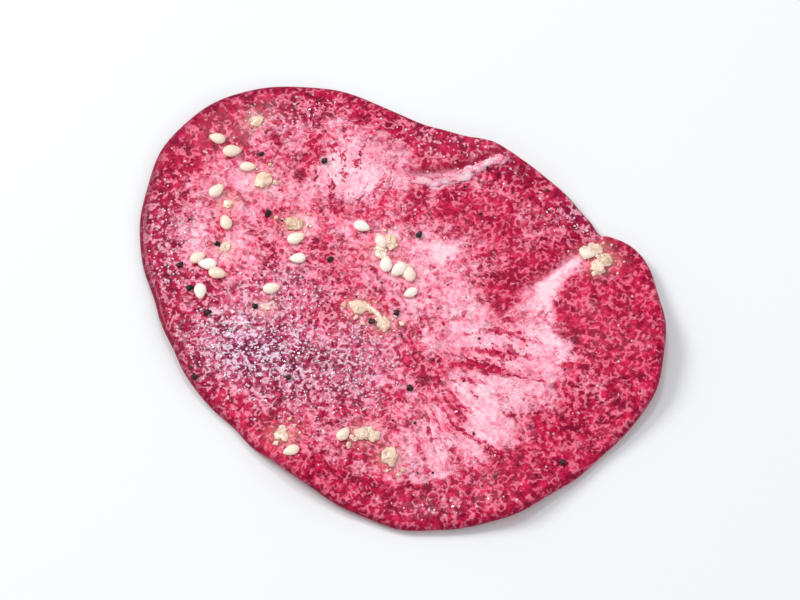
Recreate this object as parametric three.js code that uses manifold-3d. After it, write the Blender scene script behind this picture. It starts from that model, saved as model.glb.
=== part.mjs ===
// A thin slice of salted raw beef tongue, seasoned with sesame, garlic flakes and cracked pepper.
// Millimetres, +Z up. The slice lies on z = 0, and the origin is under the middle of its outline.
import * as THREE from "three";
import { mergeVertices } from "three/addons/utils/BufferGeometryUtils.js";
import Module from "manifold-3d";

// The outline: a round base, swollen or drawn in by a few broad bulges. Directions are degrees
// from +X, and a bulge's spread is the angle over which it fades.
const BASE_RADIUS = 36;
const BULGES = [
  { name: "upper left swell", at: 138, by: 18, spread: 44 },
  { name: "left flank", at: 203, by: 2.1, spread: 24 },
  { name: "front swell", at: 289, by: 9.8, spread: 45 },
  { name: "right lobe", at: 348, by: 10.7, spread: 32 },
  { name: "lobe shoulder", at: 12, by: 2.2, spread: 9 },
  { name: "nick at the crease", at: 20, by: -1.9, spread: 4 },
  { name: "flattened top", at: 79, by: -2.5, spread: 19 },
];
// The knife leaves the edge slightly uneven: waves round the outline.
const EDGE_WAVES = [
  { count: 11, height: 0.14, phase: 40 },
  { count: 17, height: 0.12, phase: 150 },
  { count: 26, height: 0.09, phase: 280 },
];

// The flesh, its thinner rim, and the roundness of the cut edge.
const THICKNESS = 2.9;
const RIM_THINNING = 0.28;
const RIM_STARTS = 0.62;
const EDGE_ROUNDING = [
  { in: 0.05, rise: 1 },
  { in: 0.03, rise: 0.985 },
  { in: 0.014, rise: 0.9 },
  { in: 0.004, rise: 0.72 },
  { in: 0, rise: 0.46 },
  { in: 0.005, rise: 0.2 },
  { in: 0.017, rise: 0.04 },
  { in: 0.034, rise: 0 },
];

// Stretches of the rim that curl up off the surface the slice lies on.
const LIFTS = [
  { name: "curled fat edge", at: 60, height: 3.4, spread: 17, from: 0.66 },
  { name: "upper left wave", at: 128, height: 1.7, spread: 19, from: 0.5 },
  { name: "left wave", at: 192, height: 1.3, spread: 15, from: 0.6 },
  { name: "front left wave", at: 243, height: 1.6, spread: 14, from: 0.55 },
  { name: "front wave", at: 296, height: 0.9, spread: 12, from: 0.7 },
  { name: "right lobe", at: 349, height: 2.3, spread: 19, from: 0.45 },
];
const LIFT_FULL_AT = 1.04;
const LIFT_CURL = 1.4;
// Slight swells of the top face, each a row of parallel waves.
const SWELLS = [
  { length: 31, height: 0.2, across: 25, phase: 60 },
  { length: 19, height: 0.13, across: 110, phase: 200 },
  { length: 13, height: 0.08, across: 160, phase: 310 },
];

// A crease runs in from the nick, and the lobe's side of it stands a step above the other side.
const CREASE = { inner: [20.5, 0.6], outer: [38.2, 14.4], bow: -0.8 };
const CREASE_STEP = { up: 0.85, down: 0.6, sharpness: 0.7, reach: 7, deepensOver: [-0.05, 0.55] };
// A seam of fat stands proud along the upper right rim.
const SEAM = { inner: [1.5, 24.4], outer: [21, 28.6], bow: -1 };
const SEAM_RIDGE = { height: 0.55, width: 1.1, risesOver: [-0.08, 0.15], fallsOver: [0.95, 1.1] };

// Toppings. A group fills an oval with them, of the given reach along and across its own turn.
const SEED = { length: 3.2, width: 2.3, height: 1.15, sunk: 0.24, taper: 0.32 };
const FLAKE = { length: 3.2, width: 2.5, height: 0.7, sunk: 0.2, sides: 7, topShare: 0.84 };
const GRAIN = { length: 1.15, width: 0.95, height: 0.8, sunk: 0.22 };
const SIZE_SPREAD = 0.16;
const GROUPS = [
  { name: "upper left", at: [-31, 26.6], reach: [12, 4.7], turn: 84, seeds: 5, flakes: 0, grains: 0 },
  { name: "beside it", at: [-25.2, 24.2], reach: [0.9, 9.5], turn: -4, seeds: 0, flakes: 1, grains: 1 },
  { name: "left", at: [-34.5, 4.1], reach: [9.3, 3.2], turn: 89, seeds: 4, flakes: 0, grains: 3 },
  { name: "inner left", at: [-20.1, 7.4], reach: [13.9, 2], turn: 72, seeds: 3, flakes: 1, grains: 0 },
  { name: "middle", at: [-1.7, 7.7], reach: [10.5, 2], turn: -55, seeds: 6, flakes: 1, grains: 0 },
  { name: "centre", at: [-4.8, -4.1], reach: [5.9, 0.9], turn: -35, seeds: 0, flakes: 2, grains: 1 },
  { name: "front", at: [-6.1, -28.9], reach: [9.7, 1.7], turn: 157, seeds: 1, flakes: 2, grains: 0 },
  { name: "front left", at: [-19.2, -31], reach: [0.9, 6.4], turn: 10, seeds: 1, flakes: 1, grains: 0 },
  { name: "lobe shoulder", at: [35.4, 8], reach: [3.2, 1.6], turn: 172, seeds: 1, flakes: 2, grains: 0 },
  { name: "left part of the face", at: [-15, 2], reach: [28, 31], turn: 65, seeds: 0, flakes: 0, grains: 10 },
  { name: "lower right edge", at: [28.4, -32.6], reach: [0.1, 0.1], turn: 0, seeds: 0, flakes: 0, grains: 1 },
];
const RANDOM_START = 2029;

// How finely the solid is cut.
const SPOKES = 128;
const TOP_RINGS = { count: 14, crowding: 0.75 };
const UNDER_RINGS = { count: 5, crowding: 0.6 };

const DEGREE = Math.PI / 180;
const GOLDEN_ANGLE = 137.508;

// A bell curve: 1 at no distance, fading over the spread.
const bell = (distance, spread) => Math.exp(-((distance / spread) ** 2));

// 0 below the start and 1 above the end, with a smooth rise between.
function ramp(value, start, end) {
  const t = Math.min(1, Math.max(0, (value - start) / (end - start)));
  return t * t * (3 - 2 * t);
}

// The turn from one direction to another in degrees, from -180 to 180.
const turnBetween = (a, b) => ((((a - b + 180) % 360) + 360) % 360) - 180;

// The distance from the outline's own centre to the edge, in one direction.
function edgeRadius(direction) {
  const bulges = BULGES.reduce((sum, b) => sum + b.by * bell(turnBetween(direction, b.at), b.spread), 0);
  const waves = EDGE_WAVES.reduce(
    (sum, w) => sum + w.height * Math.sin((w.count * direction + w.phase) * DEGREE),
    0,
  );
  return BASE_RADIUS + bulges + waves;
}

// Where a point lies against a bowed line: its share of the way along, and how far to the left of it.
function againstLine(line, x, y) {
  const [x0, y0] = line.inner;
  const dx = line.outer[0] - x0;
  const dy = line.outer[1] - y0;
  const length = Math.hypot(dx, dy);
  const along = ((x - x0) * dx + (y - y0) * dy) / length ** 2;
  const left = ((y - y0) * dx - (x - x0) * dy) / length;
  const clamped = Math.min(1, Math.max(0, along));
  return { along, left: left - 4 * line.bow * clamped * (1 - clamped) };
}

// The heights of the underside and the top face over one point of the plan.
function faces(x, y) {
  const direction = Math.atan2(y, x) / DEGREE;
  const share = Math.hypot(x, y) / edgeRadius(direction);
  let under = 0;
  for (const lift of LIFTS) {
    const outwards = ramp(share, lift.from, LIFT_FULL_AT) ** LIFT_CURL;
    under += lift.height * bell(turnBetween(direction, lift.at), lift.spread) * outwards;
  }
  let body = THICKNESS * (1 - RIM_THINNING * ramp(share, RIM_STARTS, 1));
  for (const swell of SWELLS) {
    const across = x * Math.cos(swell.across * DEGREE) + y * Math.sin(swell.across * DEGREE);
    body += swell.height * Math.sin((360 * across / swell.length + swell.phase) * DEGREE);
  }
  const crease = againstLine(CREASE, x, y);
  const side = Math.tanh(-crease.left / CREASE_STEP.sharpness);
  const step = side * (side > 0 ? CREASE_STEP.up : CREASE_STEP.down);
  body += step * ramp(crease.along, ...CREASE_STEP.deepensOver) * bell(crease.left, CREASE_STEP.reach);
  const seam = againstLine(SEAM, x, y);
  const ends = ramp(seam.along, ...SEAM_RIDGE.risesOver) - ramp(seam.along, ...SEAM_RIDGE.fallsOver);
  body += SEAM_RIDGE.height * ends * bell(seam.left, SEAM_RIDGE.width);
  return { under, top: under + body };
}

// The slab's half section, spun round the axis as a disc of radius 1 and thickness 1.
function unitDisc() {
  const section = [];
  const flatTo = 1 - EDGE_ROUNDING[0].in;
  for (let k = 0; k < TOP_RINGS.count; k++) {
    section.push(new THREE.Vector2(flatTo * (k / TOP_RINGS.count) ** TOP_RINGS.crowding, 1));
  }
  for (const step of EDGE_ROUNDING) {
    section.push(new THREE.Vector2(1 - step.in, step.rise));
  }
  const underTo = 1 - EDGE_ROUNDING[EDGE_ROUNDING.length - 1].in;
  for (let k = UNDER_RINGS.count - 1; k >= 0; k--) {
    section.push(new THREE.Vector2(underTo * (k / UNDER_RINGS.count) ** UNDER_RINGS.crowding, 0));
  }
  return new THREE.LatheGeometry(section.reverse(), SPOKES);
}

// The bare slice: every point of the unit disc is carried to the outline and between the two faces.
function sliceGeometry() {
  const geometry = unitDisc();
  const position = geometry.getAttribute("position");
  for (let i = 0; i < position.count; i++) {
    const share = Math.hypot(position.getX(i), position.getZ(i));
    const direction = Math.atan2(position.getX(i), position.getZ(i)) / DEGREE;
    const reach = share * edgeRadius(direction);
    const x = reach * Math.cos(direction * DEGREE);
    const y = reach * Math.sin(direction * DEGREE);
    const { under, top } = faces(x, y);
    position.setXYZ(i, x, y, under + (top - under) * position.getY(i));
  }
  return geometry;
}

// A sesame seed: an egg-shaped, flattened drop with its point along +X.
function seedGeometry() {
  const geometry = new THREE.SphereGeometry(0.5, 6, 4).rotateZ(-Math.PI / 2);
  const position = geometry.getAttribute("position");
  for (let i = 0; i < position.count; i++) {
    const along = position.getX(i) * 2;
    const taper = 1 - SEED.taper * ramp(along, -0.4, 1);
    position.setXYZ(
      i,
      position.getX(i) * SEED.length,
      position.getY(i) * SEED.width * taper,
      position.getZ(i) * SEED.height * taper,
    );
  }
  return geometry;
}

// A garlic flake: a small slab with an uneven edge.
function flakeGeometry() {
  const geometry = new THREE.CylinderGeometry(FLAKE.topShare / 2, 0.5, 1, FLAKE.sides).rotateX(Math.PI / 2);
  const position = geometry.getAttribute("position");
  for (let i = 0; i < position.count; i++) {
    const direction = Math.atan2(position.getY(i), position.getX(i));
    const uneven = 1 + 0.16 * Math.sin(3 * direction + 1) + 0.1 * Math.sin(2 * direction);
    position.setXYZ(
      i,
      position.getX(i) * FLAKE.length * uneven,
      position.getY(i) * FLAKE.width * uneven,
      position.getZ(i) * FLAKE.height,
    );
  }
  return geometry;
}

// A grain of cracked pepper.
const grainGeometry = () => new THREE.OctahedronGeometry(0.5).scale(GRAIN.length, GRAIN.width, GRAIN.height);

// The same draw every time: each call gives the next number between 0 and 1.
let drawn = RANDOM_START;
function draw() {
  drawn = (drawn * 16807) % 2147483647;
  return drawn / 2147483647;
}

// The places of a group's toppings: an even spiral over its oval, seeds first.
function placesOf(group) {
  const kinds = [
    ...Array(group.seeds).fill("seed"),
    ...Array(group.flakes).fill("flake"),
    ...Array(group.grains).fill("grain"),
  ];
  return kinds.map((kind, k) => {
    const out = Math.sqrt((k + 0.5) / kinds.length);
    const round = k * GOLDEN_ANGLE * DEGREE;
    const along = group.reach[0] * out * Math.cos(round);
    const across = group.reach[1] * out * Math.sin(round);
    const turn = group.turn * DEGREE;
    return {
      kind,
      x: group.at[0] + along * Math.cos(turn) - across * Math.sin(turn),
      y: group.at[1] + along * Math.sin(turn) + across * Math.cos(turn),
      yaw: draw() * 360,
      size: 1 + SIZE_SPREAD * (2 * draw() - 1),
    };
  });
}

// Lays a topping on the top face: turned to its slope, and a little sunk.
const SLOPE_REACH = 0.4;
function lay(geometry, place, height, sunk) {
  const topAt = (x, y) => faces(x, y).top;
  const { x, y } = place;
  const here = topAt(x, y);
  const slopeX = (topAt(x + SLOPE_REACH, y) - topAt(x - SLOPE_REACH, y)) / (2 * SLOPE_REACH);
  const slopeY = (topAt(x, y + SLOPE_REACH) - topAt(x, y - SLOPE_REACH)) / (2 * SLOPE_REACH);
  const up = new THREE.Vector3(-slopeX, -slopeY, 1).normalize();
  const lean = new THREE.Quaternion().setFromUnitVectors(new THREE.Vector3(0, 0, 1), up);
  const yaw = new THREE.Quaternion().setFromAxisAngle(new THREE.Vector3(0, 0, 1), place.yaw * DEGREE);
  const raised = (height / 2) * place.size - sunk;
  const at = new THREE.Vector3(x, y, here).addScaledVector(up, raised);
  const size = new THREE.Vector3(place.size, place.size, place.size);
  return geometry.applyMatrix4(new THREE.Matrix4().compose(at, lean.multiply(yaw), size));
}

const TOPPINGS = {
  seed: { make: seedGeometry, size: SEED },
  flake: { make: flakeGeometry, size: FLAKE },
  grain: { make: grainGeometry, size: GRAIN },
};

const wasm = await Module();
wasm.setup();

// A closed geometry as a solid: shared corners merged, and the slivers at the poles left out.
function solidOf(geometry) {
  const bare = new THREE.BufferGeometry();
  bare.setAttribute("position", geometry.getAttribute("position"));
  bare.setIndex(geometry.getIndex());
  const merged = mergeVertices(bare, 1e-4);
  const corners = merged.getIndex().array;
  const kept = [];
  for (let i = 0; i < corners.length; i += 3) {
    const [a, b, c] = corners.slice(i, i + 3);
    if (a !== b && b !== c && c !== a) kept.push(a, b, c);
  }
  return new wasm.Manifold(
    new wasm.Mesh({
      numProp: 3,
      vertProperties: merged.getAttribute("position").array,
      triVerts: new Uint32Array(kept),
    }),
  );
}

// The slice with everything that lies on it fused to it, as one body.
function seasonedSlice() {
  let whole = solidOf(sliceGeometry());
  for (const place of GROUPS.flatMap(placesOf)) {
    const { make, size } = TOPPINGS[place.kind];
    whole = whole.add(solidOf(lay(make(), place, size.height, size.sunk)));
  }
  const mesh = whole.getMesh();
  const geometry = new THREE.BufferGeometry();
  geometry.setAttribute("position", new THREE.BufferAttribute(new Float32Array(mesh.vertProperties), 3));
  geometry.setIndex(new THREE.BufferAttribute(mesh.triVerts, 1));
  return geometry;
}

// The outline's own centre is shifted so that the middle of its box is over the origin.
function centred(geometry) {
  geometry.computeBoundingBox();
  const middle = geometry.boundingBox.getCenter(new THREE.Vector3());
  geometry.translate(-middle.x, -middle.y, 0);
  geometry.computeVertexNormals();
  return geometry;
}

const flesh = new THREE.MeshStandardMaterial({ color: 0xcb4f6c, roughness: 0.35, metalness: 0 });
const slice = new THREE.Mesh(centred(seasonedSlice()), flesh);
slice.name = "tongue_slice";

const group = new THREE.Group();
group.add(slice);

export default group;
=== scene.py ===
# %% [markdown]
# # A slice of salted beef tongue
#
# The real thing is a thin, oval slice of raw tongue, about 95 mm wide and 3 mm thick. Its rim is
# deep crimson, its middle is marbled pink, and it is seasoned with sesame, garlic and pepper.
# This lesson models it at its real size around a plain solid that says where everything is.
# Shapes are worked out in millimetres and degrees, and turned into metres when they become meshes.

import math

import bpy
import numpy as np
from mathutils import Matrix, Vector


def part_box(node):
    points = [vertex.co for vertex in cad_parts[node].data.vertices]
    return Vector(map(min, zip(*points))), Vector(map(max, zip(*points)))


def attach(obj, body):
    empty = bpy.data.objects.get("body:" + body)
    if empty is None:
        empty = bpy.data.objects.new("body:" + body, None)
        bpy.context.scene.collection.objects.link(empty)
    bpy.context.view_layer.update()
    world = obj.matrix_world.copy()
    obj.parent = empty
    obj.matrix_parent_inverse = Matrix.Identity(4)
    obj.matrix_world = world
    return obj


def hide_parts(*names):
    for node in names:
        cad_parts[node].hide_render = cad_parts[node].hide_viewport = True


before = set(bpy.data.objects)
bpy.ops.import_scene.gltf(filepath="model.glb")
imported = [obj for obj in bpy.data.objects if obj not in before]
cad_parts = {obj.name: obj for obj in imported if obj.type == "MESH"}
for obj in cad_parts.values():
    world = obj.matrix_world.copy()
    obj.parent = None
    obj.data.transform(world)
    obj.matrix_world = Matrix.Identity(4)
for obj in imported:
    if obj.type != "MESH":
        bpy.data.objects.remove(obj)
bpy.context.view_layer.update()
MM = 0.001
SLICE_NODE = "tongue_slice"
solid_low, solid_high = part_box(SLICE_NODE)
solid_size = solid_high - solid_low
print("the solid measures, in mm:", [round(side / MM, 1) for side in solid_size])

# %% [markdown]
# ## Camera
#
# The slice is seen from about arm's length, looking down at 61.5 degrees. A camera that stands
# this far away needs a long lens, and a long lens keeps the oval's proportions true. The lens is
# worked out from the share of the picture's width that the slice should fill.

# %% Camera
CAMERA_ELEVATION = math.radians(61.5)
CAMERA_DISTANCE = 0.55
SENSOR_WIDTH = 36.0
SHARE_OF_PICTURE = 0.66


def aimed(thing, place, target):
    """Puts a camera or light at a place and turns it to look at the target."""
    thing.location = place
    thing.rotation_mode = "QUATERNION"
    thing.rotation_quaternion = (Vector(target) - Vector(place)).to_track_quat("-Z", "Y")
    bpy.context.scene.collection.objects.link(thing)
    return thing


view_centre = Vector((0, 0, solid_size.z / 3))
towards_camera = Vector((0, -math.cos(CAMERA_ELEVATION), math.sin(CAMERA_ELEVATION)))
lens = bpy.data.cameras.new("camera")
lens.sensor_width = SENSOR_WIDTH
lens.lens = SENSOR_WIDTH * SHARE_OF_PICTURE * CAMERA_DISTANCE / solid_size.x
lens.clip_start = 0.01
camera = bpy.data.objects.new("camera", lens)
aimed(camera, view_centre + towards_camera * CAMERA_DISTANCE, view_centre)
bpy.context.scene.camera = camera
print("the lens is", round(lens.lens), "mm long")

# %% [markdown]
# ## Floor and light
#
# Raw meat is shown off by soft, bright light. A pale world lights everything evenly, a large
# lamp from the upper left gives the soft shadow along the lower right edge, and a third, faint one
# fills that shadow in. The smaller lamp between them hangs where its mirror image falls on the wet
# face, so that the moist grain glitters there.

# %% Floor and light
WORLD_LIGHT = (0.92, 0.96, 1.0, 1.0)
WORLD_STRENGTH = 0.56
# Name, place, side of the square, watts and colour.
LAMPS = [
    ("key", (-0.85, 0.5, 0.8), 0.5, 9.6, (1.0, 0.985, 0.97)),
    ("glint", (-0.062, 0.395, 0.80), 0.13, 1.2, (0.95, 0.97, 1.0)),
    ("fill", (0.7, -0.6, 0.9), 0.9, 2.6, (1.0, 1.0, 1.0)),
]
FLOOR_REACH = 3.0
FLOOR_COLOUR = (0.86, 0.87, 0.88, 1.0)
FLOOR_ROUGHNESS = 0.7

scene = bpy.context.scene
scene.view_settings.view_transform = "Standard"
scene.view_settings.look = "None"
scene.world = bpy.data.worlds.new("soft room")
scene.world.use_nodes = True
background = scene.world.node_tree.nodes["Background"].inputs
background["Color"].default_value = WORLD_LIGHT
background["Strength"].default_value = WORLD_STRENGTH

for name, place, side, watts, colour in LAMPS:
    light = bpy.data.lights.new(name, "AREA")
    light.size = side
    light.energy = watts
    light.color = colour
    aimed(bpy.data.objects.new(name, light), place, (0, 0, 0))

floor_mesh = bpy.data.meshes.new("floor")
corners = [(x * FLOOR_REACH, y * FLOOR_REACH, 0) for x, y in ((-1, -1), (1, -1), (1, 1), (-1, 1))]
floor_mesh.from_pydata(corners, [], [(0, 1, 2, 3)])
floor = bpy.data.objects.new("floor", floor_mesh)
scene.collection.objects.link(floor)
paper = bpy.data.materials.new("floor")
paper.use_nodes = True
paper.node_tree.nodes["Principled BSDF"].inputs["Base Color"].default_value = FLOOR_COLOUR
paper.node_tree.nodes["Principled BSDF"].inputs["Roughness"].default_value = FLOOR_ROUGHNESS
floor_mesh.materials.append(paper)
print("a floor, and lamps:", ", ".join(name for name, *_ in LAMPS))

# %% [markdown]
# ## The slice's form as formulas
#
# A slice has no straight line, but it can still be written down: a round base that swells in some
# directions, and two heights for every point, one for the underside and one for the top face.
# The numbers are the solid's own, but for the ridge of the seam, which is lower here because
# strands of fat will lie on it. NumPy works on all points at once.

# %% The outline
BASE_RADIUS = 36
# Broad bulges of the outline: direction, how far out, and the angle over which each fades.
BULGES = [(138, 18, 44), (203, 2.1, 24), (289, 9.8, 45), (348, 10.7, 32)]
BULGES += [(12, 2.2, 9), (20, -1.9, 4), (79, -2.5, 19)]
# Small waves round the edge: how many, height, phase.
EDGE_WAVES = [(11, 0.14, 40), (17, 0.12, 150), (26, 0.09, 280)]


def bell(distance, spread):
    """1 at no distance, fading over the spread."""
    return np.exp(-((distance / spread) ** 2))


def ramp(value, start, end):
    """0 below the start and 1 above the end, with a smooth rise between."""
    t = np.clip((value - start) / (end - start), 0, 1)
    return t * t * (3 - 2 * t)


def turn_between(a, b):
    """The turn from one direction to another, from -180 to 180 degrees."""
    return (a - b + 180) % 360 - 180


def edge_radius(direction):
    """The distance from the outline's centre to the edge."""
    radius = BASE_RADIUS + sum(by * bell(turn_between(direction, at), spread) for at, by, spread in BULGES)
    return radius + sum(h * np.sin(np.radians(count * direction + phase)) for count, h, phase in EDGE_WAVES)


radii = edge_radius(np.arange(360))
print("the edge lies", radii.min().round(1), "to", radii.max().round(1), "mm from the outline's centre")

# %% The two faces
THICKNESS = 2.9
RIM_THINNING = 0.28
THINNING_STARTS = 0.62
# Stretches of rim that curl up: direction, height, spread, and the share of the way out where each starts.
LIFTS = [
    (60, 3.4, 17, 0.66),
    (128, 1.7, 19, 0.5),
    (192, 1.3, 15, 0.6),
    (243, 1.6, 14, 0.55),
    (296, 0.9, 12, 0.7),
    (349, 2.3, 19, 0.45),
]
LIFT_FULL_AT = 1.04
LIFT_CURL = 1.4
# Swells of the top face: wave length, height, direction, phase.
SWELLS = [(31, 0.2, 25, 60), (19, 0.13, 110, 200), (13, 0.08, 160, 310)]
# The crease and the seam of fat are bowed lines: inner end, outer end, bow.
CREASE = ((20.5, 0.6), (38.2, 14.4), -0.8)
CREASE_STEP = {"up": 0.85, "down": 0.6, "sharpness": 0.7, "reach": 7, "deepens": (-0.05, 0.55)}
SEAM = ((1.5, 24.4), (21, 28.6), -1)
SEAM_RIDGE = {"height": 0.34, "width": 1.1, "rises": (-0.08, 0.15), "falls": (0.95, 1.1)}


def against_line(line, x, y):
    """The share of the way along a bowed line, and the distance to the left of it."""
    (x0, y0), (x1, y1), bow = line
    dx, dy = x1 - x0, y1 - y0
    length = math.hypot(dx, dy)
    along = ((x - x0) * dx + (y - y0) * dy) / length**2
    left = ((y - y0) * dx - (x - x0) * dy) / length
    clamped = np.clip(along, 0, 1)
    return along, left - 4 * bow * clamped * (1 - clamped)


def seam_strength(along):
    """How much of the seam of fat is there: nothing past its ends."""
    return ramp(along, *SEAM_RIDGE["rises"]) - ramp(along, *SEAM_RIDGE["falls"])


def share_out(x, y):
    """How far out a point lies: 0 at the outline's centre and 1 at its edge."""
    return np.hypot(x, y) / edge_radius(np.degrees(np.arctan2(y, x)))


def faces(x, y):
    """The heights of the underside and of the top face."""
    direction = np.degrees(np.arctan2(y, x))
    share = share_out(x, y)
    under = 0
    for at, height, spread, start in LIFTS:
        outwards = ramp(share, start, LIFT_FULL_AT) ** LIFT_CURL
        under = under + height * bell(turn_between(direction, at), spread) * outwards
    body = THICKNESS * (1 - RIM_THINNING * ramp(share, THINNING_STARTS, 1))
    for length, height, across, phase in SWELLS:
        along = x * math.cos(math.radians(across)) + y * math.sin(math.radians(across))
        body = body + height * np.sin(np.radians(360 * along / length + phase))
    along, left = against_line(CREASE, x, y)
    side = np.tanh(-left / CREASE_STEP["sharpness"])
    climb = side * np.where(side > 0, CREASE_STEP["up"], CREASE_STEP["down"])
    body = body + climb * ramp(along, *CREASE_STEP["deepens"]) * bell(left, CREASE_STEP["reach"])
    along, left = against_line(SEAM, x, y)
    body = body + SEAM_RIDGE["height"] * seam_strength(along) * bell(left, SEAM_RIDGE["width"])
    return under, under + body


print("in the middle the top face is", round(float(faces(0.0, 0.0)[1]), 2), "mm high")

# %% [markdown]
# ## The slab as a mesh
#
# The cut faces need small, even cells, because their grain is modelled later on. A grid of squares
# can be pressed into a disc without crowding at the middle, as rings would. The disc is then
# stretched to the outline. A rounded wall joins the top to a coarser underside, which is enough
# for a face that hardly shows.

# %% A disc of even cells
TOP_CELLS = 240
UNDER_CELLS = TOP_CELLS // 2
WALL_RINGS = 15
# How far in from the edge the rounding starts, above and below, and the height of its widest point.
ROUNDING_IN = (0.05, 0.034)
WIDEST_AT = 0.46
ROUNDING_POWER = 2 / 3.2


def disc(cells):
    """Share and direction of the corners of a square grid that is pressed into a disc."""
    side = np.linspace(-1, 1, cells + 1)
    a, b = (grid.ravel() for grid in np.meshgrid(side, side))
    wide = np.abs(a) > np.abs(b)
    longer = np.where(wide, a, b)
    shorter = np.where(wide, b, a)
    slant = 45 * np.divide(shorter, longer, out=np.zeros_like(a), where=longer != 0)
    direction = np.where(wide, slant, 90 - slant) + np.where(longer < 0, 180, 0)
    return np.abs(longer), direction


def border(cells):
    """The numbers of a grid's outer corners, once round."""
    row = cells + 1
    first = np.arange(cells)
    return np.concatenate([first, first * row + cells, cells * row + cells - first, (cells - first) * row])


def squares(cells):
    """The four corners of each cell."""
    row = cells + 1
    corner = (np.arange(cells)[:, None] * row + np.arange(cells)).ravel()
    return np.stack([corner, corner + 1, corner + row + 1, corner + row], axis=1)


def placed(share, direction, rise):
    """Points of the slice: a share of the way out, in a direction, and a share of the way up."""
    reach = share * edge_radius(direction)
    x = reach * np.cos(np.radians(direction))
    y = reach * np.sin(np.radians(direction))
    under, top = faces(x, y)
    return np.stack([x, y, under + (top - under) * rise], axis=1)


# %% The slab's points and cells
top_share, top_direction = disc(TOP_CELLS)
under_share, under_direction = disc(UNDER_CELLS)
top_border = border(TOP_CELLS)
rim_direction = top_direction[top_border]
blocks = [placed(top_share * (1 - ROUNDING_IN[0]), top_direction, 1)]
for k in range(1, WALL_RINGS + 1):
    bend = math.pi * k / (WALL_RINGS + 1)
    above = math.cos(bend) > 0
    inset = ROUNDING_IN[0] if above else ROUNDING_IN[1]
    share = 1 - inset * (1 - math.sin(bend) ** ROUNDING_POWER)
    rise = WIDEST_AT + math.cos(bend) * ((1 - WIDEST_AT) if above else WIDEST_AT)
    blocks.append(placed(np.full(len(rim_direction), share), rim_direction, rise))
blocks.append(placed(under_share * (1 - ROUNDING_IN[1]), under_direction, 0))
points = np.concatenate(blocks)

cells = squares(TOP_CELLS).tolist()
loop = top_border
start = len(blocks[0])
around = len(top_border)
for k in range(WALL_RINGS):
    ring = start + np.arange(around)
    cells += np.stack([loop, ring, np.roll(ring, -1), np.roll(loop, -1)], axis=1).tolist()
    loop = ring
    start += around
under_loop = start + border(UNDER_CELLS)
for k in range(len(under_loop)):
    here, following = under_loop[k], under_loop[(k + 1) % len(under_loop)]
    first, middle, last = loop[2 * k], loop[2 * k + 1], loop[(2 * k + 2) % around]
    cells += [(first, here, middle), (here, following, middle), (middle, following, last)]
cells += (start + squares(UNDER_CELLS)[:, ::-1]).tolist()
# The outline's centre isn't the middle of its box, so the slab is moved to where the solid lies.
solid_middle = np.array((solid_low + solid_high) / 2)[:2] / MM
shift = solid_middle - (points[:, :2].min(axis=0) + points[:, :2].max(axis=0)) / 2
print("the slab has", len(points), "points and", len(cells), "cells, and moves by", shift.round(2), "mm")

# %% The slab as an object


def mesh_of(name, spots, links=(), polygons=()):
    """A mesh in metres, from points in millimetres about the outline's centre."""
    mesh = bpy.data.meshes.new(name)
    moved = (np.asarray(spots) + np.array([*shift, 0])) * MM
    mesh.from_pydata(moved.tolist(), links, polygons)
    return mesh


def paint(mesh, name, values, kind="FLOAT"):
    """Keeps one value, or one vector, for each point of a mesh."""
    layer = mesh.attributes.new(name, kind, "POINT")
    field = "vector" if kind == "FLOAT_VECTOR" else "value"
    layer.data.foreach_set(field, np.ravel(values).astype(np.float32))


slab = mesh_of("tongue", points, polygons=cells)
slab.shade_smooth()
slab.update()
assert slab.validate() is False
print("the slab's mesh is clean")

# %% [markdown]
# ## Where the meat is lean and where it is fat
#
# The tongue's rim is lean and dark, its middle is threaded with fat, and the fibres fan out from
# a place left of the middle. These broad zones are painted on the points by simple rules: soft
# ovals, each with a name, a place, a reach and a strength. Their borders wander, because the ovals
# are read at places that noise has shifted. The fibres are painted as a second pair of
# coordinates, one along them and one across, so that a pattern can follow them later.

# %% Noise and soft ovals
LATTICE = 128


def value_noise(x, y, size, seed):
    """Smooth random values between 0 and 1, with bumps of the given size."""
    values = np.random.default_rng(seed).random((LATTICE, LATTICE))
    u, v = x / size, y / size
    i, j = np.floor(u).astype(int), np.floor(v).astype(int)
    s, t = ramp(u - i, 0, 1), ramp(v - j, 0, 1)
    i, j, right, above = i % LATTICE, j % LATTICE, (i + 1) % LATTICE, (j + 1) % LATTICE
    near = values[i, j] * (1 - s) + values[right, j] * s
    far = values[i, above] * (1 - s) + values[right, above] * s
    return near * (1 - t) + far * t


def wandering(x, y, size, seed):
    """Noise between -1 and 1 with finer noise on top, for borders that wander."""
    broad = value_noise(x, y, size, seed) * 2 - 1
    fine = value_noise(x, y, size / 2.7, seed + 1) * 2 - 1
    return 0.68 * broad + 0.32 * fine


def oval(x, y, at, reach, turn):
    """A soft oval patch: 1 at its middle and fading out."""
    dx, dy = x - at[0], y - at[1]
    c, s = math.cos(math.radians(turn)), math.sin(math.radians(turn))
    return np.exp(-(((dx * c + dy * s) / reach[0]) ** 2) - ((dy * c - dx * s) / reach[1]) ** 2)


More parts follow.
